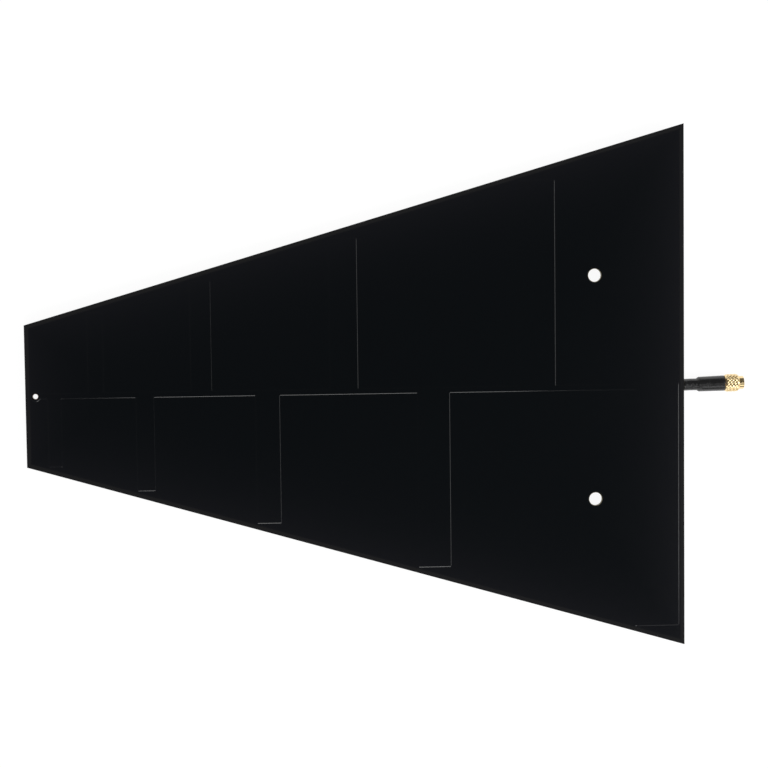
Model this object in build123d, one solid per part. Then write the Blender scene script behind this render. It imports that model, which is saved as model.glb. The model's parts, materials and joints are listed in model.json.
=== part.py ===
"""Log periodic antenna on a printed board, fed by a coax line that ends in a threaded coaxial plug.

All sizes are in millimetres. The parts are drawn in the board's own frame: X runs from the middle of
the narrow edge to the wide edge and on to the plug, Y across the board, Z from the back face (0) to
the front. At the end they move together, so that the origin lies under the middle of the assembly,
at the height of its lowest point.
"""

from build123d import *
from math import cos, radians, sin, sqrt
import os

# Board
board_length = 333.3
narrow_width = 71.3
wide_width = 266.9
board_thickness = 1.6
mount_hole_diameter = 6.6
mount_hole_from_wide_edge = 45.9
mount_hole_spacing = 114.2

# Log periodic pattern. From the wide end on, each half-dipole is smaller than the one before by the
# same ratio, and so is its distance from the point where the rows of ends would meet.
element_count = 9
growth = 1.1686
last_element_width = 22.1
last_element_from_wide_edge = 3.05
last_element_from_side = 6.2
first_element_start = 11.1
boom_width = 2.4
copper_thickness = 0.07

# Feed point: a plated hole joins the front boom to a small land on the back.
feed_hole_diameter = 2.5
feed_hole_x = 5.0
plating = 0.05
feed_pad_radius = 2.4
feed_land_width = 2.6
feed_land_margin = 0.25
feed_gap = 1.1

# Solder mask
mask_thickness = 0.03
mask_flank = 0.30
mask_overlap = 0.05
mask_edge_setback = 0.10
mask_hole_margin = 0.20
window_margin = 0.10
window_end_margin = 3.0

# Coax line along the back boom
shield_radius = 1.79
dielectric_radius = 1.49
conductor_radius = 0.46
solder_film = 0.05
shield_from_boom_start = 0.4
dielectric_bared = 1.2
foot_from_hole = 2.9
foot_bend_radius = 0.9
line_turn_before_edge = 16.0
plug_turn = 1.5

# Solder
feed_dome_radius = 0.95
feed_dome_height = 0.95
tack_length = 6.0
tack_top_half_width = 1.5

# Sleeve, collar of the plug, and boot over both, along the plug axis from the board's wide edge
sleeve_start = 0.2
sleeve_length = 8.75
sleeve_wall = 1.05
collar_gap = 0.1
collar_length = 12.5
collar_radius = 3.10
boot_overlap = 1.35
boot_cone_length = 1.7
boot_lip_wall = 0.18
boot_rear_wall = 0.52
boot_front_wall = 0.70

# Coupling nut. Its offsets are measured from its rear face, its depths from its mouth.
nut_gap = 0.15
knurl_length = 7.1
knurl_rows = 4
knurl_count = 16
knurl_radius = 4.53
knurl_depth = 0.40
knurl_end_drop = 0.60
neck_length = 0.25
neck_radius = 3.15
nose_length = 2.4
nose_radius = 3.35
nose_chamfer = 0.15
nut_running_clearance = 0.05
ring_groove_offset = 1.0
ring_groove_width = 0.70
relief_offset = 2.60
relief_length = 0.90
thread_bore_radius = 2.875
mouth_chamfer = 0.25

# Retaining ring and gasket
ring_width = 0.50
ring_reach = 0.38
ring_groove_clearance = 0.12
ring_seat_depth = 0.30
ring_seat_clearance = 0.02
ring_arc = 325.0
gasket_thickness = 0.70
gasket_radius = 3.00
gasket_fit = 0.01
relief_clearance = 0.20

# Barrel, outer contact tube, insulator and centre contact of the plug
barrel_radius = 2.70
barrel_past_relief = 0.05
line_seat_wall = 1.8
contact_tube_radius = 2.295
contact_tube_wall = 0.245
reference_plane_depth = 2.60
insulator_offset = 0.10
pin_gap = 0.05
pin_root_radius = 0.635
pin_radius = 0.457
pin_tip_depth = 0.75
pin_socket_depth = 2.0

# Places along the board, worked out from the sizes above
span = growth ** (element_count - 1)
last_element_x = board_length - last_element_from_wide_edge - last_element_width / 2
last_half_length = narrow_width / 2 - last_element_from_side \
    + (wide_width - narrow_width) / 2 * last_element_x / board_length
first_element_x = first_element_start + last_element_width / span / 2
apex_x = first_element_x - (last_element_x - first_element_x) / (span - 1)
boom_end = last_element_x + last_element_width / 2
drill_radius = feed_hole_diameter / 2 + plating
foot_x = feed_hole_x + foot_from_hole
feed_land_end = foot_x + feed_dome_radius + feed_land_margin
back_boom_start = feed_land_end + feed_gap
shield_start = back_boom_start + shield_from_boom_start

# Places along the plug axis
line_z = -copper_thickness - solder_film - shield_radius
line_direction = Vector(cos(radians(plug_turn)), sin(radians(plug_turn)), 0)
line_turn = Vector(board_length - line_turn_before_edge, 0, line_z)
plug_origin = line_turn + line_direction * (line_turn_before_edge / cos(radians(plug_turn)))
plug_frame = Plane(origin=plug_origin, x_dir=(0, 0, 1), z_dir=line_direction)
sleeve_radius = shield_radius + sleeve_wall
sleeve_end = sleeve_start + sleeve_length
boot_start = sleeve_end - boot_overlap
collar_start = sleeve_end + collar_gap
collar_end = collar_start + collar_length
line_seat = collar_end - line_seat_wall
nut_start = collar_end + nut_gap
knurl_end = nut_start + knurl_length
nose_start = knurl_end + neck_length
nut_end = nose_start + nose_length
groove_start = nut_start + ring_groove_offset
groove_end = groove_start + ring_groove_width
ring_start = groove_start + (ring_groove_width - ring_width) / 2
ring_radius = barrel_radius + ring_reach
relief_start = nut_start + relief_offset
relief_end = relief_start + relief_length
relief_radius = gasket_radius + relief_clearance
barrel_end = relief_start + barrel_past_relief
insulator_start = nut_start + insulator_offset
insulator_radius = contact_tube_radius - contact_tube_wall
reference_plane = nut_end - reference_plane_depth
pin_start = insulator_start + pin_gap
pin_tip = nut_end - pin_tip_depth


def slab(outline, bottom, top):
    """Flat plate with the given outline between two heights."""
    return extrude(Pos(0, 0, bottom) * outline, top - bottom, dir=(0, 0, 1))


def turned(*profile, arc=360.0):
    """Solid of revolution about Z from (radius, height) corners."""
    outline = Polyline(*profile, close=True)
    return revolve(make_face(Plane.XZ * outline), Axis.Z, revolution_arc=arc)


def on_plug_axis(solid):
    """Places a solid, drawn along Z from the board's wide edge, on the axis of the plug."""
    return plug_frame.location * solid


def round_bar(radius, route):
    """Round bar along a route of straight runs and arcs. A corner without an arc is mitred."""
    section = Plane(origin=route @ 0, z_dir=route % 0) * Circle(radius)
    return sweep(section, path=route, transition=Transition.RIGHT)


def line_point(distance):
    """Point on the plug axis at a distance past the board's wide edge."""
    return plug_origin + line_direction * distance


def line_route(start_x, end_distance):
    """Centre line of the coax, from a place on the back boom to a distance past the wide edge."""
    start = Vector(start_x, 0, line_z)
    return Polyline(start, line_turn, line_point(end_distance))


def board_outline():
    corners = [
        (0, -narrow_width / 2),
        (board_length, -wide_width / 2),
        (board_length, wide_width / 2),
        (0, narrow_width / 2),
    ]
    return make_face(Polyline(*corners, close=True))


def drillings(mount_margin=0.0, feed_radius=drill_radius):
    """Circles of the two mounting holes and of the feed hole."""
    mount_circle = Circle(mount_hole_diameter / 2 + mount_margin)
    mount_x = board_length - mount_hole_from_wide_edge
    upper = Pos(mount_x, mount_hole_spacing / 2) * mount_circle
    lower = Pos(mount_x, -mount_hole_spacing / 2) * mount_circle
    return upper + lower + Pos(feed_hole_x, 0) * Circle(feed_radius)


def element_x(number):
    """Middle of a half-dipole, counted from 0 at the narrow end. Halves lie midway between two."""
    return apex_x + (first_element_x - apex_x) * growth ** number


def half_elements(first_side):
    """Half-dipoles of one face, on alternate sides of the boom. first_side is +1 for +Y, -1 for -Y."""
    strips = []
    for number in range(element_count):
        scale = growth ** number / span
        reach = last_half_length * scale
        side = first_side * (-1) ** number
        strip = Rectangle(last_element_width * scale, reach)
        strips.append(Pos(element_x(number), side * reach / 2) * strip)
    return strips


def boom(start):
    return Pos((start + boom_end) / 2, 0) * Rectangle(boom_end - start, boom_width)


def front_pattern():
    """Boom and half-dipoles of the front, with a round pad at the feed hole, where the boom starts."""
    pad = Pos(feed_hole_x, 0) * Circle(feed_pad_radius)
    return boom(feed_hole_x - feed_pad_radius) + pad + half_elements(-1)


def back_pattern():
    return boom(back_boom_start) + half_elements(+1)


def feed_land():
    """Outline of the land on the back: a ring round the hole, with a tongue towards the coax."""
    length = feed_land_end - feed_hole_x
    tongue = Pos(feed_hole_x + length / 2, 0) * Rectangle(length, feed_land_width)
    return Pos(feed_hole_x, 0) * Circle(feed_pad_radius) + tongue


def mask_coat(copper, openings):
    """Coat over one face, from height 0 outwards, stepping up over the copper on sloped flanks."""
    highest = copper_thickness + mask_thickness
    field_outline = offset(board_outline(), -mask_edge_setback, kind=Kind.INTERSECTION)
    field = slab(field_outline, 0, mask_thickness)
    foot = offset(copper, mask_overlap + mask_flank, kind=Kind.INTERSECTION)
    crest = offset(copper, mask_overlap, kind=Kind.INTERSECTION)
    sections = [Pos(0, 0, mask_thickness) * foot.face(), Pos(0, 0, highest) * crest.face()]
    rise = loft(sections, ruled=True)
    return field + rise - slab(copper, 0, copper_thickness) - slab(openings, -highest, 2 * highest)


def laminate():
    return slab(board_outline() - drillings(), 0, board_thickness)


def front_copper():
    return slab(front_pattern() - drillings(), board_thickness, board_thickness + copper_thickness)


def back_copper():
    return slab(back_pattern(), -copper_thickness, 0)


def feed_eyelet():
    """Plating of the feed hole, in one piece with the land on the back."""
    hole = Circle(feed_hole_diameter / 2)
    barrel = Pos(feed_hole_x, 0) * (Circle(drill_radius) - hole)
    land = feed_land() - Pos(feed_hole_x, 0) * hole
    return slab(land, -copper_thickness, 0) + slab(barrel, 0, board_thickness + copper_thickness)


def front_mask():
    openings = drillings(mask_hole_margin, feed_hole_diameter / 2 + mask_hole_margin)
    return Pos(0, 0, board_thickness) * mask_coat(front_pattern(), openings)


def back_mask():
    """The back coat leaves the feed land bare, and a window along the boom where the coax is soldered."""
    window_end = board_length - line_turn_before_edge - window_end_margin
    window_length = window_end - back_boom_start
    window_width = boom_width - 2 * window_margin
    window = Pos(back_boom_start + window_length / 2, 0) * Rectangle(window_length, window_width)
    bare_land = offset(feed_land(), window_margin, kind=Kind.ARC)
    openings = drillings(mask_hole_margin) + window + bare_land
    return mirror(mask_coat(back_pattern(), openings), about=Plane.XY)


def coax_shield():
    route = line_route(shield_start, line_seat)
    return round_bar(shield_radius, route) - round_bar(dielectric_radius, route)


def coax_dielectric():
    route = line_route(shield_start - dielectric_bared, insulator_start)
    return round_bar(dielectric_radius, route) - round_bar(conductor_radius, route)


def centre_conductor():
    """The centre conductor stands on the feed land, turns along the boom and ends in the plug's pin."""
    foot = Vector(foot_x, 0, -copper_thickness)
    corner = Vector(foot_x, 0, line_z)
    end = line_point(pin_start + pin_socket_depth)
    rise = FilletPolyline(foot, corner, line_turn, radius=foot_bend_radius)
    return round_bar(conductor_radius, rise + Line(line_turn, end))


def feed_solder():
    """Dome of solder, half an ellipse in section, round the foot of the centre conductor."""
    radius, height = feed_dome_radius, feed_dome_height
    on_the_ellipse = (radius * sqrt(1 - 0.5 ** 2), height * 0.5)
    side = ThreePointArc((radius, 0), on_the_ellipse, (0, height))
    section = make_face(Plane.XZ * (side + Polyline((0, height), (0, 0), (radius, 0))))
    place = Pos(foot_x, 0, -copper_thickness) * Rot(X=180)
    return place * revolve(section, Axis.Z) - centre_conductor()


def shield_solder():
    """Joints between the shield and the back boom, one midway between each two half-dipoles."""
    low_half_width = boom_width / 2 - window_margin
    climb = sqrt(shield_radius ** 2 - tack_top_half_width ** 2)
    mask_surface = -copper_thickness - mask_thickness
    section = Polyline(
        (-low_half_width, -copper_thickness),
        (low_half_width, -copper_thickness),
        (low_half_width, mask_surface),
        (tack_top_half_width, line_z + climb),
        (-tack_top_half_width, line_z + climb),
        (-low_half_width, mask_surface),
        close=True,
    )
    bar = round_bar(shield_radius, line_route(shield_start, line_seat))
    joints = []
    for number in range(element_count - 1):
        start = element_x(number + 0.5) - tack_length / 2
        face = Plane.YZ.offset(start) * make_face(section)
        joints.append(extrude(face, tack_length, dir=(1, 0, 0)) - bar)
    return Part() + joints


def cable_sleeve():
    """Sleeve over the coax, from the board's edge to the plug's collar."""
    return on_plug_axis(turned(
        (shield_radius, sleeve_start),
        (sleeve_radius, sleeve_start),
        (sleeve_radius, sleeve_end),
        (shield_radius, sleeve_end),
    ))


def plug_boot():
    """Shrunk boot over the collar of the plug and the end of the sleeve."""
    return on_plug_axis(turned(
        (sleeve_radius, boot_start),
        (sleeve_radius + boot_lip_wall, boot_start),
        (collar_radius + boot_rear_wall, boot_start + boot_cone_length),
        (collar_radius + boot_front_wall, collar_end),
        (collar_radius, collar_end),
        (collar_radius, collar_start),
        (sleeve_radius, collar_start),
    ))


def plug_body():
    """Turned body: a collar soldered on the shield, a barrel for the nut and the outer contact tube."""
    seat_radius = barrel_radius - ring_seat_depth
    seat_start = ring_start - ring_seat_clearance
    seat_end = ring_start + ring_width + ring_seat_clearance
    return on_plug_axis(turned(
        (shield_radius, collar_start),
        (collar_radius, collar_start),
        (collar_radius, collar_end),
        (barrel_radius, collar_end),
        (barrel_radius, seat_start),
        (seat_radius, seat_start),
        (seat_radius, seat_end),
        (barrel_radius, seat_end),
        (barrel_radius, barrel_end),
        (contact_tube_radius, barrel_end),
        (contact_tube_radius, reference_plane),
        (insulator_radius, reference_plane),
        (insulator_radius, insulator_start),
        (dielectric_radius, insulator_start),
        (dielectric_radius, line_seat),
        (shield_radius, line_seat),
    ))


def plug_insulator():
    return on_plug_axis(turned(
        (pin_root_radius, pin_start),
        (insulator_radius, pin_start),
        (insulator_radius, reference_plane),
        (pin_root_radius, reference_plane),
    ))


def contact_pin():
    """Centre contact: a socket for the conductor at the root, a slimmer pin with a round tip in front."""
    socket_end = pin_start + pin_socket_depth
    return on_plug_axis(turned(
        (conductor_radius, pin_start),
        (pin_root_radius, pin_start),
        (pin_root_radius, reference_plane),
        (pin_radius, reference_plane),
        (pin_radius, pin_tip - pin_radius / 2),
        (pin_radius / 2, pin_tip),
        (0, pin_tip),
        (0, socket_end),
        (conductor_radius, socket_end),
    ))


def knurled_bar():
    """Solid bar with a diamond knurl of four-sided points. Peaks and groove crossings alternate on a
    grid of half pitches round and along the bar, and the end rows drop to one round edge."""
    columns = 2 * knurl_count
    last_row = 2 * knurl_rows

    def corner(column, row):
        radius = knurl_radius if (column + row) % 2 == 0 else knurl_radius - knurl_depth
        if row in (0, last_row):
            radius = knurl_radius - knurl_end_drop
        angle = radians(360 * column / columns)
        height = nut_start + knurl_length * row / last_row
        return Vector(radius * cos(angle), radius * sin(angle), height)

    def facet(*places):
        return Face(Wire.make_polygon([corner(*place) for place in places], close=True))

    facets = []
    for row in range(last_row + 1):
        for column in range(row % 2, columns, 2):
            for beside in (column - 1, column + 1):
                for level in (row - 1, row + 1):
                    if 0 <= level <= last_row:
                        facets.append(facet((column, row), (beside, row), (column, level)))
    for row in (0, last_row):
        facets.append(facet(*[(column, row) for column in range(columns)]))
    return Solid(Shell(facets))


def coupling_nut():
    """Knurled nut that turns freely on the plug's barrel, with a groove inside for the retaining ring."""
    nose = turned(
        (0, knurl_end),
        (neck_radius, knurl_end),
        (neck_radius, nose_start),
        (nose_radius, nose_start),
        (nose_radius, nut_end - nose_chamfer),
        (nose_radius - nose_chamfer, nut_end),
        (0, nut_end),
    )
    bore_radius = barrel_radius + nut_running_clearance
    groove_radius = ring_radius + ring_groove_clearance
    bore = turned(
        (0, nut_start),
        (bore_radius, nut_start),
        (bore_radius, groove_start),
        (groove_radius, groove_start),
        (groove_radius, groove_end),
        (bore_radius, groove_end),
        (bore_radius, relief_start),
        (relief_radius, relief_start),
        (relief_radius, relief_end),
        (thread_bore_radius, relief_end),
        (thread_bore_radius, nut_end - mouth_chamfer),
        (thread_bore_radius + mouth_chamfer, nut_end),
        (0, nut_end),
    )
    return on_plug_axis(knurled_bar() + nose - bore)


def retaining_ring():
    """Split ring, seated in the barrel's groove and reaching into the nut's."""
    inner_radius = barrel_radius - ring_seat_depth + ring_seat_clearance
    return on_plug_axis(turned(
        (inner_radius, ring_start),
        (ring_radius, ring_start),
        (ring_radius, ring_start + ring_width),
        (inner_radius, ring_start + ring_width),
        arc=ring_arc,
    ))


def gasket():
    inner_radius = contact_tube_radius + gasket_fit
    return on_plug_axis(turned(
        (inner_radius, barrel_end),
        (gasket_radius, barrel_end),
        (gasket_radius, barrel_end + gasket_thickness),
        (inner_radius, barrel_end + gasket_thickness),
    ))


def main():
    makers = [
        laminate, front_copper, back_copper, feed_eyelet, front_mask, back_mask,
        coax_shield, coax_dielectric, centre_conductor, feed_solder, shield_solder,
        cable_sleeve, plug_boot, plug_body, plug_insulator, contact_pin,
        coupling_nut, retaining_ring, gasket,
    ]
    solids = {maker.__name__: maker() for maker in makers}
    nut_box = solids["coupling_nut"].bounding_box()
    to_origin = Pos(-nut_box.max.X / 2, 0, -nut_box.min.Z)
    os.makedirs("parts", exist_ok=True)
    for name, solid in solids.items():
        export_step(to_origin * solid, f"parts/{name}.step")
    edge_point = to_origin * Pos(plug_origin)
    mouth_point = to_origin * Pos(line_point(nut_end))
    print("everything moved by", to_origin.position)
    print("plug axis at the wide edge", edge_point.position, "and at the nut's mouth", mouth_point.position)
    print("bend radius of the centre conductor", foot_bend_radius)


if __name__ == "__main__":
    main()
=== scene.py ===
import json
from math import cos, exp, floor, pi, radians, sin, sqrt

import bmesh
import bpy
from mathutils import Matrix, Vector
from mathutils.geometry import tessellate_polygon


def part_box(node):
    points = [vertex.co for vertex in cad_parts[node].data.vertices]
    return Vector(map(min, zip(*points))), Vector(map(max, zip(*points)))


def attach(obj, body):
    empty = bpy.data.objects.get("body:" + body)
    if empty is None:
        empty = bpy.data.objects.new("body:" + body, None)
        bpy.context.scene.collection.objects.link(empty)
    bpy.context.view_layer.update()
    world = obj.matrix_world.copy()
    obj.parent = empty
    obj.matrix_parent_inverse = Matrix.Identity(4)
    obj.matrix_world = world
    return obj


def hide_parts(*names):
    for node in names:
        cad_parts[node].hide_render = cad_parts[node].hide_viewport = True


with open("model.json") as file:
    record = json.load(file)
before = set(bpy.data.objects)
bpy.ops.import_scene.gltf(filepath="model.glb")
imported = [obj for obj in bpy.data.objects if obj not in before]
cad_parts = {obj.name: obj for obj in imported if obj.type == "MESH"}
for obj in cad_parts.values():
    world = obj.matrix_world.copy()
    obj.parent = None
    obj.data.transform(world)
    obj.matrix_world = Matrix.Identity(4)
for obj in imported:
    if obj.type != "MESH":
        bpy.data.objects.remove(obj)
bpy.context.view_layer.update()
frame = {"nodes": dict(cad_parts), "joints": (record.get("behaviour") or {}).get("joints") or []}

MM = 0.001

# Camera, fitted to the board's corners and holes in the photograph
camera_place = Vector((-0.060719, 0.061046, 0.921526))
camera_turn = (radians(-3.5524), radians(-3.6702), radians(-0.6898))
camera_lens = 85.0
camera_sensor = 36.0

# Lamps: place, size and radiance of each soft box, and the X of the point on the floor that it faces
soft_boxes = {
    "right_box": ((0.63, -0.06, 0.95), (0.60, 0.36), 1.3, 0.0),
    "far_right_box": ((1.05, -0.02, 0.82), (0.62, 0.34), 3.0, 0.0),
    "low_right_box": ((1.35, -0.25, 0.60), (0.90, 0.40), 2.4, 0.17),
    "side_box": ((0.62, -1.08, 0.90), (0.40, 0.50), 1.4, 0.17),
    "left_box": ((-0.41, -0.98, 0.70), (0.50, 0.50), 1.6, 0.17),
    "front_box": ((0.01, -0.66, 0.95), (0.46, 0.42), 3.9, 0.0),
}
floor_size = 30.0
floor_glow = 0.93
floor_albedo = 0.14
floor_albedo_in_bounces = 0.80
ambient_light = 0.40

# The room as reflections show it, by the direction of the mirrored ray. White low down gives way to the
# walls over the first range of Z, and the walls to the ceiling over the second. The left wall gives way
# to the right one over a range of X.
horizon_rise = (0.02, 0.20)
ceiling_rise = (0.86, 0.965)
right_wall_turn = (0.5, 0.95)
left_wall_reflection = 0.12
right_wall_reflection = 0.60
ceiling_reflection = 0.038

# Coat of solder mask
flank_inside = 0.05 * MM
flank_outside = 0.31 * MM
flank_steps = 10
flat_margin = 0.05 * MM
corner_shading = 0.45 * MM
mask_border_growth = 0.09 * MM
# Reach of the painted sheen that makes the mask paler towards the board's edges
mask_painted_sheen_reach = 16 * MM
# Band of painted sheen just inside the board's edges, paler still
mask_painted_rim_start = 1.6 * MM
mask_painted_rim_end = 2.6 * MM

# Coupling nut, by distance from its rear face. Its inside follows the CAD node.
nut_columns = 160
knurl_mesh_rows = 32
knurl_points_round = 16
knurl_rows = 4
knurl_length = 7.1 * MM
knurl_radius = 4.53 * MM
knurl_depth = 0.40 * MM
knurl_crest = 0.86
knurl_end_radius = 3.93 * MM
knurl_end_climb = 0.58
neck_end = 7.35 * MM
neck_radius = 3.15 * MM
nose_radius = 3.35 * MM
nut_length = 9.75 * MM
nose_chamfer = 0.15 * MM
nose_rear_chamfer = 0.05 * MM
bore_radius = 2.75 * MM
groove_start = 1.0 * MM
groove_end = 1.7 * MM
groove_radius = 3.20 * MM
relief_start = 2.6 * MM
relief_end = 3.5 * MM
relief_radius = 3.20 * MM
thread_crest_radius = 2.875 * MM
thread_depth = 0.30 * MM
thread_pitch = 25.4 / 36 * MM
thread_steepness = 1.3
thread_rows_per_turn = 8
mouth_chamfer = 0.25 * MM

# Sleeve and boot
sleeve_columns = 144
sleeve_rows = 80
sleeve_growth = 0.18 * MM
sleeve_wave = 0.02 * MM
sleeve_wave_twist = 900
sleeve_end_drop = 0.20 * MM
sleeve_end_length = 0.35 * MM
boot_rows = 130
boot_cone_length = 1.3 * MM
boot_growth = 0.16 * MM
boot_reach = 0.45 * MM
boot_lip = 0.32 * MM
boot_widening = 0.18 * MM
boot_rib_depth = 0.02 * MM
boot_rib_start = 3 * MM
boot_front_drop = 0.18 * MM
boot_front_length = 0.30 * MM
boot_rear_drop = 0.12 * MM
boot_rear_length = 0.25 * MM

# Solder
fillet_stations = 28
fillet_steps = 10
fillet_foot = 1.12 * MM
fillet_least_reach = 0.25 * MM
fillet_hollow = 0.16 * MM
fillet_sink = 0.02 * MM
feed_columns = 48
feed_rings = 14
feed_tip_radius = 0.45 * MM

# Plug axis, from the joint of the nut
nut_joint = frame["joints"][0]
axis_origin = Vector(nut_joint["pos_m"])
axis_direction = Vector(nut_joint["axis"]).normalized()
axis_up = Vector((0, 0, 1))
axis_side = axis_up.cross(axis_direction)


def axis_point(distance, radius, angle):
    """Point at a distance along the plug axis and a radius off it. Angle 0 points up, 90 degrees to +Y."""
    off_axis = axis_up * cos(angle) + axis_side * sin(angle)
    return axis_origin + axis_direction * distance + off_axis * radius


def along_axis(node):
    """Start and end of a CAD node along the plug axis, and its least and greatest radius off it."""
    distances, radii = [], []
    for vertex in frame["nodes"][node].data.vertices:
        offset = vertex.co - axis_origin
        distance = offset.dot(axis_direction)
        distances.append(distance)
        radii.append((offset - axis_direction * distance).length)
    return min(distances), max(distances), min(radii), max(radii)


def clamped(value, low, high):
    return max(low, min(high, value))


def smooth_step(share):
    share = clamped(share, 0.0, 1.0)
    return share * share * (3 - 2 * share)


# Materials


def add_node(tree, kind, inputs=None, **properties):
    """Adds a shader node. Each of its inputs is given as a value, or as a socket to link."""
    node = tree.nodes.new("ShaderNode" + kind)
    for name, value in properties.items():
        setattr(node, name, value)
    for key, value in (inputs or {}).items():
        if isinstance(value, bpy.types.NodeSocket):
            tree.links.new(value, node.inputs[key])
        else:
            node.inputs[key].default_value = value
    return node


class Surface:
    """A material with one Principled shader, whose colour, relief and mostly gloss come from nodes."""

    def __init__(self, name, roughness, **settings):
        self.material = bpy.data.materials.new(name)
        self.material.use_nodes = True
        self.tree = self.material.node_tree
        self.shader = self.tree.nodes["Principled BSDF"]
        self.shader.inputs["Roughness"].default_value = roughness
        for socket, value in settings.items():
            self.shader.inputs[socket.replace("_", " ")].default_value = value
        self.place = self.add("TexCoord").outputs["Object"]

    def add(self, kind, inputs=None, **properties):
        return add_node(self.tree, kind, inputs, **properties)

    def math(self, operation, *values):
        return self.add("Math", dict(enumerate(values)), operation=operation).outputs[0]

    def noise(self, grain, detail=3.0, stretch=(1, 1, 1)):
        """Noise from 0 to 1 with grains of about the given length in metres, stretched by axis."""
        place = self.add("Mapping", {"Vector": self.place, "Scale": [1 / s for s in stretch]}).outputs[0]
        return self.add("TexNoise", {"Vector": place, "Scale": 1 / grain, "Detail": detail}).outputs["Fac"]

    def ranged(self, value, low, high, to_low=0.0, to_high=1.0, smooth=False):
        kind = "SMOOTHSTEP" if smooth else "LINEAR"
        settings = {0: value, 1: low, 2: high, 3: to_low, 4: to_high}
        return self.add("MapRange", settings, interpolation_type=kind).outputs[0]

    def mixed(self, share, first, second):
        """Colour between two, each an RGB triple or a socket."""
        settings = {0: share}
        for key, colour in ((6, first), (7, second)):
            settings[key] = colour if isinstance(colour, bpy.types.NodeSocket) else (*colour, 1.0)
        return self.add("Mix", settings, data_type="RGBA").outputs[2]

    def colour(self, socket):
        self.tree.links.new(socket, self.shader.inputs["Base Color"])

    def roughness(self, socket):
        self.tree.links.new(socket, self.shader.inputs["Roughness"])

    def relief(self, height, depth):
        """Bump from a height of 0 to 1 that stands for a depth in metres."""
        settings = {"Height": height, "Distance": depth, "Strength": 1.0}
        bump = self.add("Bump", settings).outputs[0]
        self.tree.links.new(bump, self.shader.inputs["Normal"])


def edge_distance(surface):
    """Distance from the nearest edge of the tapering board, in metres."""
    low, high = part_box("laminate")
    corners = flat_loops("laminate", 1, high.z)[0]
    narrow_half = max(p.y for p in corners if p.x < low.x + MM)
    taper = (high.y - narrow_half) / (high.x - low.x)
    split = surface.add("SeparateXYZ", {0: surface.place}).outputs
    from_narrow_end = surface.math("SUBTRACT", split[0], low.x)
    from_wide_end = surface.math("SUBTRACT", high.x, split[0])
    half_width = surface.math("MULTIPLY_ADD", from_narrow_end, taper, narrow_half)
    inward = surface.math("SUBTRACT", half_width, surface.math("ABSOLUTE", split[1]))
    side = surface.math("DIVIDE", inward, sqrt(1 + taper * taper))
    return surface.math("MINIMUM", side, surface.math("MINIMUM", from_narrow_end, from_wide_end))


def solder_mask():
    surface = Surface("solder_mask", 0.12, IOR=1.5)
    cloud = surface.noise(60 * MM, detail=2)
    black = surface.mixed(cloud, (0.0024, 0.0036, 0.0048), (0.0030, 0.0042, 0.0054))
    inward = edge_distance(surface)
    # Painted sheen: the mask's colour grows paler towards the board's edges
    painted_edge_sheen = surface.math("EXPONENT", surface.math("DIVIDE", inward, -mask_painted_sheen_reach))
    shaded = surface.mixed(painted_edge_sheen, black, (0.0084, 0.0088, 0.0112))
    # Painted sheen: a paler band just inside the board's edges
    painted_rim_sheen = surface.ranged(inward, mask_painted_rim_start, mask_painted_rim_end, 1.0, 0.0, smooth=True)
    surface.colour(surface.mixed(painted_rim_sheen, shaded, (0.0150, 0.0150, 0.0158)))
    surface.roughness(surface.ranged(surface.noise(4 * MM), 0.3, 0.7, 0.115, 0.130))
    surface.relief(surface.noise(0.5 * MM, detail=2), 0.0004 * MM)
    return surface.material


def laminate_edge():
    surface = Surface("glass_epoxy", 0.55, IOR=1.5)
    plies = surface.noise(0.16 * MM, detail=2, stretch=(30, 30, 1))
    fibres = surface.noise(0.25 * MM, detail=4, stretch=(1, 1, 3))
    resin = surface.mixed(plies, (0.120, 0.098, 0.048), (0.230, 0.200, 0.115))
    surface.colour(surface.mixed(surface.ranged(fibres, 0.45, 0.75), resin, (0.330, 0.300, 0.205)))
    surface.roughness(surface.ranged(fibres, 0.3, 0.7, 0.42, 0.68))
    surface.relief(surface.math("ADD", plies, fibres), 0.02 * MM)
    return surface.material


def metal(name, dark, light, low_roughness, high_roughness, grain, depth):
    """A metal whose colour varies in patches, and its gloss from grain to grain."""
    surface = Surface(name, low_roughness, Metallic=1.0)
    patches = surface.noise(grain * 12, detail=3)
    grains = surface.noise(grain, detail=4)
    surface.colour(surface.mixed(surface.ranged(patches, 0.3, 0.7), dark, light))
    surface.roughness(surface.ranged(grains, 0.25, 0.75, low_roughness, high_roughness))
    surface.relief(grains, depth)
    return surface.material


def braid():
    """Tinned braid: flat bundles of wires that cross on the slant."""
    surface = Surface("tinned_braid", 0.30, Metallic=1.0)
    low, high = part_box("coax_shield")
    split = surface.add("SeparateXYZ", {0: surface.place}).outputs
    above_axis = surface.math("SUBTRACT", split[2], low.z + (high.z - low.z) / 2)
    angle = surface.math("ARCTAN2", split[1], above_axis)
    bundles = 8
    lay = 9.0 * MM
    along = surface.math("MULTIPLY", split[0], 2 * pi / lay)
    advance = surface.math("MULTIPLY", along, bundles / 2)
    ways = []
    for sign in (1, -1):
        twist = surface.math("MULTIPLY_ADD", angle, sign * bundles / 2, advance)
        ways.append(surface.math("SINE", twist))
    over = surface.math("GREATER_THAN", surface.math("MULTIPLY", *ways), 0.0)
    wires = surface.math("ABSOLUTE", surface.math("ADD", *ways))
    height = surface.ranged(surface.math("MULTIPLY_ADD", over, 0.5, wires), 0.0, 2.0)
    tarnish = surface.noise(6 * MM)
    bright = surface.mixed(tarnish, (0.52, 0.50, 0.47), (0.76, 0.75, 0.72))
    # Painted shade: the colour darkens where the wires dip low between the bundles
    surface.colour(surface.mixed(surface.ranged(height, 0.0, 0.35), (0.30, 0.28, 0.25), bright))
    surface.roughness(surface.ranged(tarnish, 0.3, 0.7, 0.28, 0.42))
    surface.relief(height, 0.10 * MM)
    return surface.material


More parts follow.
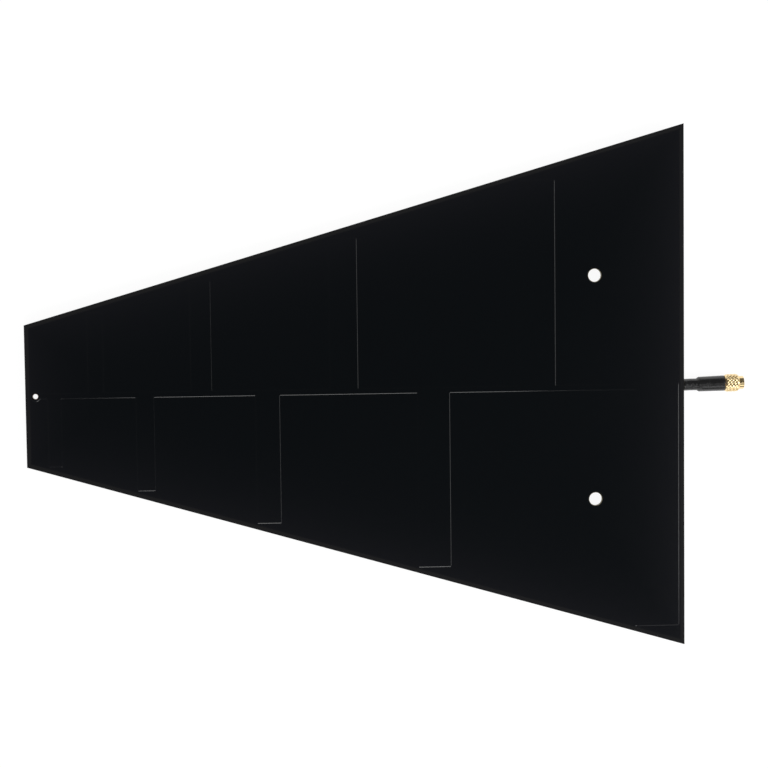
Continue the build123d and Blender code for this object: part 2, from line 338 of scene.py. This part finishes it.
def insulation():
    glow = {"Subsurface_Weight": 0.15, "Subsurface_Scale": 0.5 * MM}
    surface = Surface("white_insulation", 0.45, IOR=1.36, **glow)
    marks = surface.noise(0.8 * MM)
    surface.colour(surface.mixed(marks, (0.78, 0.78, 0.75), (0.88, 0.88, 0.86)))
    surface.roughness(surface.ranged(marks, 0.3, 0.7, 0.38, 0.52))
    surface.relief(marks, 0.01 * MM)
    return surface.material


def shrink_sleeve():
    surface = Surface("shrink_sleeve", 0.28, IOR=1.65)
    bloom = surface.noise(2.5 * MM, detail=4)
    grain = surface.noise(0.12 * MM, detail=2)
    surface.colour(surface.mixed(bloom, (0.0060, 0.0060, 0.0064), (0.0105, 0.0105, 0.0110)))
    surface.roughness(surface.ranged(bloom, 0.3, 0.7, 0.20, 0.30))
    surface.relief(grain, 0.006 * MM)
    return surface.material


def rubber():
    surface = Surface("gasket_silicone", 0.6, IOR=1.43)
    marks = surface.noise(0.6 * MM)
    surface.colour(surface.mixed(marks, (0.36, 0.060, 0.035), (0.46, 0.085, 0.050)))
    surface.relief(marks, 0.01 * MM)
    return surface.material


def dress(piece, material):
    """Puts a material on the object itself, over what its mesh has."""
    if not piece.material_slots:
        piece.data.materials.append(material)
    for material_slot in piece.material_slots:
        material_slot.link = "OBJECT"
        material_slot.material = material


# Shapes


class Shape:
    """Corners and faces of a new piece."""

    def __init__(self):
        self.corners = []
        self.faces = []

    def ring(self, points):
        """Adds a closed row of corners and returns their numbers."""
        first = len(self.corners)
        self.corners.extend(Vector(p) for p in points)
        return list(range(first, len(self.corners)))

    def bridge(self, lower, upper):
        """Quads between two rows. They face outwards where both run anticlockwise and upper lies higher."""
        count = len(lower)
        for here in range(count):
            beside = (here + 1) % count
            self.faces.append((lower[here], lower[beside], upper[beside], upper[here]))

    def fill(self, border, holes=(), face_up=True):
        """Fills the area inside one row and outside others, all at one height."""
        rows = [border, *holes]
        numbers = [number for row in rows for number in row]
        for triangle in tessellate_polygon([[self.corners[n] for n in row] for row in rows]):
            a, b, c = (numbers[index] for index in triangle)
            turn = (self.corners[b] - self.corners[a]).cross(self.corners[c] - self.corners[a])
            upward = turn.z > 0
            self.faces.append((a, b, c) if upward == face_up else (a, c, b))

    def piece(self, name, body, material, slot, stands_for, crease=40.0):
        mesh = bpy.data.meshes.new(name)
        mesh.from_pydata([tuple(c) for c in self.corners], [], self.faces)
        mesh.validate()
        mesh.shade_smooth()
        mesh.set_sharp_from_angle(angle=radians(crease))
        made = bpy.data.objects.new(name, mesh)
        bpy.context.scene.collection.objects.link(made)
        dress(made, material)
        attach(made, body)
        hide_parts(*stands_for)
        return made


def loop_area(loop):
    return sum(a.x * b.y - b.x * a.y for a, b in zip(loop, loop[1:] + loop[:1])) / 2


def flat_loops(node, side, height):
    """Borders of a node's flat faces at one height that look up (side 1) or down (side -1), as loops
    of (x, y) points that run anticlockwise, the widest first."""
    shape = bmesh.new()
    shape.from_mesh(frame["nodes"][node].data)
    bmesh.ops.remove_doubles(shape, verts=shape.verts, dist=0.001 * MM)
    level = 0.005 * MM
    away = [f for f in shape.faces
            if f.normal.z * side < 0.999 or abs(f.calc_center_median().z - height) > level]
    bmesh.ops.delete(shape, geom=away, context="FACES")
    border = {e for e in shape.edges if len(e.link_faces) == 1}
    loops = []
    while border:
        first, here = border.pop().verts
        loop = [first.co.xy]
        while here is not first:
            loop.append(here.co.xy)
            edge = next(e for e in here.link_edges if e in border)
            border.discard(edge)
            here = edge.other_vert(here)
        loops.append(loop if loop_area(loop) > 0 else loop[::-1])
    shape.free()
    return sorted(loops, key=loop_area, reverse=True)


def grown(loop, distance):
    """An anticlockwise loop moved outwards by a distance, with sharp corners."""
    moved = []
    for before, here, after in zip(loop[-1:] + loop[:-1], loop, loop[1:] + loop[:1]):
        along_in = (here - before).normalized()
        along_out = (after - here).normalized()
        normal_in = Vector((along_in.y, -along_in.x))
        normal_out = Vector((along_out.y, -along_out.x))
        share = distance / (1 + normal_in.dot(normal_out))
        moved.append(here + (normal_in + normal_out) * share)
    return moved


def shouldered(loop, distance):
    """The loop with a point more near both ends of each long side, so that corners shade apart."""
    points = []
    for here, after in zip(loop, loop[1:] + loop[:1]):
        points.append(here)
        side = after - here
        if side.length > 4 * distance:
            step = side.normalized() * distance
            points += [here + step, after - step]
    return points


def mask_coat(name, mask_node, copper_node, side, material):
    """Coat of one face of the board: flat over the laminate, and up over the copper on rounded flanks."""
    up = side > 0
    mask_low, mask_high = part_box(mask_node)
    copper_low, copper_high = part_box(copper_node)
    base, crest = (mask_low.z, mask_high.z) if up else (mask_high.z, mask_low.z)
    copper_face = copper_high.z if up else copper_low.z
    field = base + crest - copper_face
    copper_loop = shouldered(flat_loops(copper_node, side, copper_face)[0], corner_shading)
    # The second loop is the flat part's inner edge round the copper, where the flanks start
    outer_loop, _, *field_openings = flat_loops(mask_node, side, field)
    field_border = grown(outer_loop, mask_border_growth)
    crest_openings = flat_loops(mask_node, side, crest)[1:]

    shape = Shape()

    def level(loop, height):
        return shape.ring([(p.x, p.y, height) for p in (loop if up else loop[::-1])])

    def wall(top_row, loop):
        bottom_row = level(loop, base)
        shape.bridge(bottom_row, top_row)
        return bottom_row

    def hole(top_row, loop):
        bottom_row = level(loop, base)
        shape.bridge(top_row, bottom_row)
        return bottom_row

    rings = [level(grown(copper_loop, flank_outside + flat_margin), field)]
    for step in range(flank_steps + 1):
        share = step / flank_steps
        distance = flank_outside - (flank_outside + flank_inside) * share
        rings.append(level(grown(copper_loop, distance), field + (crest - field) * smooth_step(share)))
    rings.append(level(grown(copper_loop, -flank_inside - flat_margin), crest))
    for lower, upper in zip(rings, rings[1:]):
        shape.bridge(lower, upper)
    border_row = level(field_border, field)
    field_rows = [level(loop, field) for loop in field_openings]
    crest_rows = [level(loop, crest) for loop in crest_openings]
    shape.fill(border_row, [rings[0], *field_rows], up)
    shape.fill(rings[-1], crest_rows, up)
    bottom_border = wall(border_row, field_border)
    bottom_holes = [hole(row, loop) for row, loop in zip(field_rows, field_openings)]
    bottom_holes += [hole(row, loop) for row, loop in zip(crest_rows, crest_openings)]
    shape.fill(bottom_border, bottom_holes, not up)
    return shape.piece(name, "board", material, "solder_mask", [mask_node], crease=30.0)


def turned_piece(shape, rows, columns):
    """Closes a row of (distance, radius function of angle) places into a ring-shaped skin."""
    rings = []
    for distance, radius_at in rows:
        angles = [2 * pi * column / columns for column in range(columns)]
        rings.append(shape.ring([axis_point(distance, radius_at(angle), angle) for angle in angles]))
    for here, after in zip(rings, rings[1:] + rings[:1]):
        shape.bridge(here, after)


def plain(radius):
    return lambda angle: radius


def knurl_radius_at(distance, angle):
    """Outer radius of the knurl: four-sided points on a slanting grid, cut off by a cone at each end."""
    across = angle / (2 * pi) * 2 * knurl_points_round
    along = distance / knurl_length * 2 * knurl_rows
    row, column = floor(along + 0.5), floor(across + 0.5)
    height = 0.0
    for r in (row - 1, row, row + 1):
        for c in (column - 1, column, column + 1):
            if (r + c) % 2 == 0:
                height = max(height, 1 - abs(along - r) - abs(across - c))
    height = min(height, knurl_crest)
    to_end = min(distance, knurl_length - distance)
    cone = knurl_end_radius + to_end * knurl_end_climb
    return min(knurl_radius - knurl_depth * (knurl_crest - height), cone)


def thread_radius_at(distance, angle):
    """Inside radius of the thread, with flats at crest and root. It starts and ends shallow."""
    turn = (distance / thread_pitch - angle / (2 * pi)) % 1
    ridge = abs(2 * turn - 1)
    profile = clamped((ridge - 0.5) * thread_steepness + 0.5, 0.0, 1.0)
    to_end = min(distance - relief_end, nut_length - mouth_chamfer - distance)
    return thread_crest_radius + thread_depth * profile * smooth_step(to_end / thread_pitch)


def spread(start, end, count):
    return [start + (end - start) * step / count for step in range(count + 1)]


def coupling_nut(material):
    start = along_axis("coupling_nut")[0]
    rows = [(0, plain(bore_radius))]
    for distance in spread(0, knurl_length, knurl_mesh_rows):
        rows.append((distance, lambda angle, d=distance: knurl_radius_at(d, angle)))
    rows += [(knurl_length, plain(neck_radius)), (neck_end, plain(neck_radius))]
    nose_start = neck_end + nose_rear_chamfer
    rows += [(neck_end, plain(nose_radius - nose_rear_chamfer)), (nose_start, plain(nose_radius))]
    nose_end = nut_length - nose_chamfer
    rows += [(d, plain(nose_radius)) for d in spread(nose_start + nose_rear_chamfer, nose_end, 3)]
    rows += [(nut_length, plain(nose_radius - nose_chamfer))]
    rows += [(nut_length, plain(thread_crest_radius + mouth_chamfer))]
    thread_length = nut_length - mouth_chamfer - relief_end
    thread_rows = round(thread_length / thread_pitch * thread_rows_per_turn)
    for distance in spread(nut_length - mouth_chamfer, relief_end, thread_rows):
        rows.append((distance, lambda angle, d=distance: thread_radius_at(d, angle)))
    rows += [(relief_end, plain(relief_radius)), (relief_start, plain(relief_radius))]
    rows += [(relief_start, plain(bore_radius)), (groove_end, plain(bore_radius))]
    rows += [(groove_end, plain(groove_radius)), (groove_start, plain(groove_radius))]
    rows += [(groove_start, plain(bore_radius))]
    shape = Shape()
    turned_piece(shape, [(start + distance, radius_at) for distance, radius_at in rows], nut_columns)
    return shape.piece("knurled_nut", "nut", material, "gold", ["coupling_nut"], crease=24.0)


def bump(distance, angle, at, turned_to, length, width):
    """A rounded swelling of a length and an angular width, from 1 at its middle to 0 far away."""
    turn = (angle - turned_to + pi) % (2 * pi) - pi
    return exp(-((distance - at) / length) ** 2 - (turn / width) ** 2)


def shrunk_sleeve(material):
    """Sleeve drawn tight over the coax, with a few soft creases."""
    start, end, inner, outer = along_axis("cable_sleeve")
    # Each crease as bump takes it, then how far it rises
    creases = [
        (2.1 * MM, radians(-38), 0.45 * MM, 0.45, 0.10 * MM),
        (3.5 * MM, radians(-12), 0.35 * MM, 0.30, 0.09 * MM),
        (4.8 * MM, radians(-42), 0.50 * MM, 0.40, 0.08 * MM),
        (1.2 * MM, radians(22), 0.45 * MM, 0.50, 0.08 * MM),
        (4.3 * MM, radians(44), 0.55 * MM, 0.50, 0.08 * MM),
        (6.2 * MM, radians(4), 0.50 * MM, 0.60, 0.06 * MM),
        (3.4 * MM, radians(165), 0.60 * MM, 0.60, 0.08 * MM),
    ]

    def radius_at(distance, angle):
        wave = sleeve_wave * sin(3 * angle + sleeve_wave_twist * distance)
        swell = sum(rise * bump(distance - start, angle, *place) for *place, rise in creases)
        to_end = min(distance - start, end - distance)
        drop = sleeve_end_drop * (1 - smooth_step(to_end / sleeve_end_length))
        return outer + sleeve_growth + wave + swell - drop

    rows = [(d, lambda angle, d=d: radius_at(d, angle)) for d in spread(start, end, sleeve_rows)]
    rows += [(end, plain(inner)), (start, plain(inner))]
    shape = Shape()
    turned_piece(shape, rows, sleeve_columns)
    return shape.piece("shrunk_sleeve", "board", material, "black_sleeve", ["cable_sleeve"], crease=50.0)


def shrunk_boot(material):
    """Boot shrunk over collar and sleeve: a short puckered cone, then a skin that widens forwards."""
    start, end, inner, outer = along_axis("plug_boot")
    start -= boot_reach
    collar_start, collar_radius = along_axis("plug_body")[0], along_axis("plug_body")[3]
    rear_radius = outer + boot_growth - boot_widening
    # Each pucker as bump takes it, from the rear edge, then how far it rises
    puckers = [
        (0.5 * MM, radians(10), 0.50 * MM, 0.17, 0.20 * MM),
        (0.1 * MM, radians(-15), 0.45 * MM, 0.18, 0.17 * MM),
        (1.6 * MM, radians(-28), 0.50 * MM, 0.16, 0.15 * MM),
        (1.1 * MM, radians(-8), 0.40 * MM, 0.16, -0.10 * MM),
        (0.9 * MM, radians(-46), 0.40 * MM, 0.18, -0.10 * MM),
        (1.4 * MM, radians(42), 0.45 * MM, 0.25, -0.09 * MM),
        (1.5 * MM, radians(150), 0.50 * MM, 0.40, -0.09 * MM),
        (0.9 * MM, radians(-120), 0.40 * MM, 0.25, 0.08 * MM),
    ]

    def radius_at(distance, angle):
        past = distance - start
        lip_radius = inner + boot_lip
        cone = lip_radius + (rear_radius - lip_radius) * smooth_step(past / boot_cone_length)
        along_skin = (past - boot_cone_length) / (end - start - boot_cone_length)
        widening = boot_widening * clamped(along_skin, 0, 1)
        ribs = boot_rib_depth * (sin(5 * angle + 0.6) - 1) * smooth_step(past / boot_rib_start)
        swell = sum(rise * bump(past, angle, *place) for *place, rise in puckers)
        front = boot_front_drop * (1 - smooth_step((end - distance) / boot_front_length))
        rear = boot_rear_drop * (1 - smooth_step(past / boot_rear_length))
        return cone + widening + ribs + swell - front - rear

    rows = [(d, lambda angle, d=d: radius_at(d, angle)) for d in spread(start, end, boot_rows)]
    rows += [(end, plain(collar_radius)), (collar_start, plain(collar_radius))]
    rows += [(collar_start, plain(inner)), (start, plain(inner))]
    shape = Shape()
    turned_piece(shape, rows, sleeve_columns)
    return shape.piece("shrunk_boot", "board", material, "black_sleeve", ["plug_boot"], crease=50.0)


def islands(node):
    """Lowest and highest corner of each separate solid of a node, from low X to high X."""
    shape = bmesh.new()
    shape.from_mesh(frame["nodes"][node].data)
    bmesh.ops.remove_doubles(shape, verts=shape.verts, dist=0.001 * MM)
    left = set(shape.verts)
    boxes = []
    while left:
        found, queue = set(), [left.pop()]
        while queue:
            here = queue.pop()
            found.add(here)
            for edge in here.link_edges:
                other = edge.other_vert(here)
                if other in left:
                    left.discard(other)
                    queue.append(other)
        places = [v.co for v in found]
        low = Vector([min(p[i] for p in places) for i in range(3)])
        high = Vector([max(p[i] for p in places) for i in range(3)])
        boxes.append((low, high))
    shape.free()
    return sorted(boxes, key=lambda box: box[0].x)


def shield_fillets(material):
    """Solder drawn up between the boom and the shield, thick in the middle and thin at both ends."""
    shield_low, shield_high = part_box("coax_shield")
    shield_radius = (shield_high.z - shield_low.z) / 2
    shield_z = (shield_high.z + shield_low.z) / 2
    copper_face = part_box("back_copper")[0].z

    def shield_height(y):
        return shield_z + sqrt(shield_radius ** 2 - y ** 2)

    shape = Shape()
    for number, (low, high) in enumerate(islands("shield_solder")):
        middle, half_length = (low.x + high.x) / 2, (high.x - low.x) / 2
        rows = []
        for share in spread(-1, 1, fillet_stations):
            fullness = sqrt(max(0.0, 1 - abs(share) ** 3.2))
            uneven = 1 + 0.06 * sin(3.1 * share + 1.7 * number)
            foot = fillet_foot * (0.55 + 0.45 * fullness)
            reach = clamped(high.y * (0.45 + 0.55 * fullness) * uneven, fillet_least_reach, high.y)
            contact = shield_height(reach)
            half = []
            for t in spread(0, 1, fillet_steps):
                y = foot + (reach - foot) * t ** 1.6 - fillet_hollow * sin(pi * t) * fullness
                half.append((y, copper_face + (contact - copper_face) * t))
            half += [(y, shield_height(y) - fillet_sink) for y in spread(reach, 0, 6)[1:]]
            row = half + [(-y, z) for y, z in reversed(half[:-1])]
            rows.append(shape.ring([(middle + share * half_length, y, z) for y, z in row]))
        for here, after in zip(rows, rows[1:]):
            shape.bridge(after, here)
        shape.faces.append(tuple(rows[0]))
        shape.faces.append(tuple(reversed(rows[-1])))
    return shape.piece("solder_fillets", "board", material, "solder", ["shield_solder"], crease=60.0)


def feed_fillet(material):
    """Solder drawn up round the foot of the centre conductor."""
    low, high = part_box("feed_solder")
    centre = (low + high) / 2
    foot = (high.x - low.x) / 2
    height = high.z - low.z
    shape = Shape()
    rings = []
    for share in spread(0.0, 1.0, feed_rings):
        radius = feed_tip_radius + (foot - feed_tip_radius) * (1 - share) ** 2.1
        ring = []
        for column in range(feed_columns):
            angle = 2 * pi * column / feed_columns
            lobed = radius * (1 - 0.05 * (1 - share) * (1 + sin(2 * angle + 0.7)) / 2)
            ring.append((centre.x + lobed * cos(angle), lobed * sin(angle), high.z - height * share))
        rings.append(shape.ring(ring))
    for here, after in zip(rings, rings[1:]):
        shape.bridge(after, here)
    shape.fill(rings[0], face_up=True)
    shape.fill(rings[-1], face_up=False)
    return shape.piece("feed_fillet", "board", material, "solder", ["feed_solder"], crease=60.0)


# The object

tin = metal("tin_plate", (0.55, 0.54, 0.51), (0.72, 0.71, 0.68), 0.24, 0.38, 0.20 * MM, 0.004 * MM)
solder = metal("solder_alloy", (0.46, 0.46, 0.45), (0.66, 0.66, 0.65), 0.16, 0.34, 0.35 * MM, 0.012 * MM)
gold = metal("gold_plate", (0.93, 0.68, 0.33), (1.0, 0.82, 0.50), 0.09, 0.15, 0.10 * MM, 0.002 * MM)
copper = metal("copper_foil", (0.60, 0.30, 0.18), (0.78, 0.45, 0.30), 0.28, 0.45, 0.20 * MM, 0.004 * MM)
silver = metal("silver_plate", (0.70, 0.69, 0.66), (0.84, 0.83, 0.81), 0.18, 0.30, 0.15 * MM, 0.003 * MM)
bronze = metal("spring_bronze", (0.58, 0.38, 0.18), (0.74, 0.52, 0.28), 0.25, 0.40, 0.15 * MM, 0.004 * MM)
mask = solder_mask()
sleeve = shrink_sleeve()
white = insulation()
node_materials = {
    "laminate": laminate_edge(),
    "front_copper": copper,
    "back_copper": copper,
    "feed_eyelet": tin,
    "front_mask": mask,
    "back_mask": mask,
    "coax_shield": braid(),
    "coax_dielectric": white,
    "centre_conductor": silver,
    "feed_solder": solder,
    "shield_solder": solder,
    "cable_sleeve": sleeve,
    "plug_boot": sleeve,
    "plug_body": gold,
    "plug_insulator": white,
    "contact_pin": gold,
    "coupling_nut": gold,
    "retaining_ring": bronze,
    "gasket": rubber(),
}
for node, material in node_materials.items():
    dress(frame["nodes"][node], material)

mask_coat("front_coat", "front_mask", "front_copper", 1, mask)
mask_coat("back_coat", "back_mask", "back_copper", -1, mask)
coupling_nut(gold)
shrunk_sleeve(sleeve)
shrunk_boot(sleeve)
shield_fillets(solder)
feed_fillet(solder)

# Stage


def ray_share(tree, kinds):
    """1 for rays of the given kinds, and 0 for others."""
    path = add_node(tree, "LightPath")
    share = path.outputs[kinds[0]]
    for kind in kinds[1:]:
        share = add_node(tree, "Math", {0: share, 1: path.outputs[kind]}, operation="MAXIMUM").outputs[0]
    return share


def grey(shade):
    return (shade, shade, shade, 1)


def pale_floor():
    """A floor that reads white where nothing shades it, and a little darker in the object's shadow."""
    half = floor_size / 2
    corners = [(-half, -half, 0), (half, -half, 0), (half, half, 0), (-half, half, 0)]
    mesh = bpy.data.meshes.new("floor")
    mesh.from_pydata(corners, [], [(0, 1, 2, 3)])
    ground = bpy.data.objects.new("floor", mesh)
    bpy.context.scene.collection.objects.link(ground)
    material = bpy.data.materials.new("pale_floor")
    material.use_nodes = True
    tree = material.node_tree
    tree.nodes.clear()
    matte = add_node(tree, "BsdfDiffuse", {"Color": grey(floor_albedo)}).outputs[0]
    glow = add_node(tree, "Emission", {"Color": grey(floor_glow)}).outputs[0]
    seen = add_node(tree, "AddShader", {0: matte, 1: glow}).outputs[0]
    in_bounces = add_node(tree, "BsdfDiffuse", {"Color": grey(floor_albedo_in_bounces)}).outputs[0]
    looked_at = ray_share(tree, ["Is Camera Ray", "Is Glossy Ray", "Is Transmission Ray"])
    surface = add_node(tree, "MixShader", {0: looked_at, 1: in_bounces, 2: seen}).outputs[0]
    add_node(tree, "OutputMaterial", {"Surface": surface})
    mesh.materials.append(material)


def faded(tree, place, places, shades):
    """Goes smoothly from one shade to another between two places. A shade is a number or a socket."""
    inputs = dict(enumerate((place, *places, *shades)))
    return add_node(tree, "MapRange", inputs, interpolation_type="SMOOTHSTEP").outputs[0]


def surroundings():
    """White behind the object and low in reflections; a dim room with a dark ceiling higher up in them."""
    world = bpy.data.worlds.new("surroundings")
    bpy.context.scene.world = world
    world.use_nodes = True
    tree = world.node_tree
    tree.nodes.clear()
    direction = add_node(tree, "TexCoord").outputs["Generated"]
    split = add_node(tree, "SeparateXYZ", {0: direction}).outputs
    walls = faded(tree, split[0], right_wall_turn, (left_wall_reflection, right_wall_reflection))
    room = faded(tree, split[2], ceiling_rise, (walls, ceiling_reflection))
    reflected = faded(tree, split[2], horizon_rise, (1.0, room))
    mirrored_rays = ray_share(tree, ["Is Glossy Ray", "Is Transmission Ray"])
    lighting = add_node(tree, "Mix", {0: mirrored_rays, 2: ambient_light, 3: reflected}).outputs[0]
    camera_rays = ray_share(tree, ["Is Camera Ray"])
    strength = add_node(tree, "Mix", {0: camera_rays, 2: lighting, 3: 1.0}).outputs[0]
    background = add_node(tree, "Background", {"Color": grey(1), "Strength": strength}).outputs[0]
    add_node(tree, "OutputWorld", {"Surface": background})


def soft_box(name, place, size, radiance, faced_x):
    lamp = bpy.data.lights.new(name, "AREA")
    lamp.shape = "RECTANGLE"
    lamp.size, lamp.size_y = size
    lamp.energy = radiance * pi * size[0] * size[1]
    made = bpy.data.objects.new(name, lamp)
    made.location = place
    made.rotation_mode = "QUATERNION"
    made.rotation_quaternion = (Vector(place) - Vector((faced_x, 0, 0))).to_track_quat("Z", "Y")
    made.visible_camera = False
    bpy.context.scene.collection.objects.link(made)


def photo_camera():
    data = bpy.data.cameras.new("camera")
    data.lens = camera_lens
    data.sensor_width = camera_sensor
    made = bpy.data.objects.new("camera", data)
    made.location = camera_place
    made.rotation_euler = camera_turn
    bpy.context.scene.collection.objects.link(made)
    bpy.context.scene.camera = made


pale_floor()
surroundings()
for box_name, box_values in soft_boxes.items():
    soft_box(box_name, *box_values)
photo_camera()
bpy.context.scene.view_settings.view_transform = "Standard"
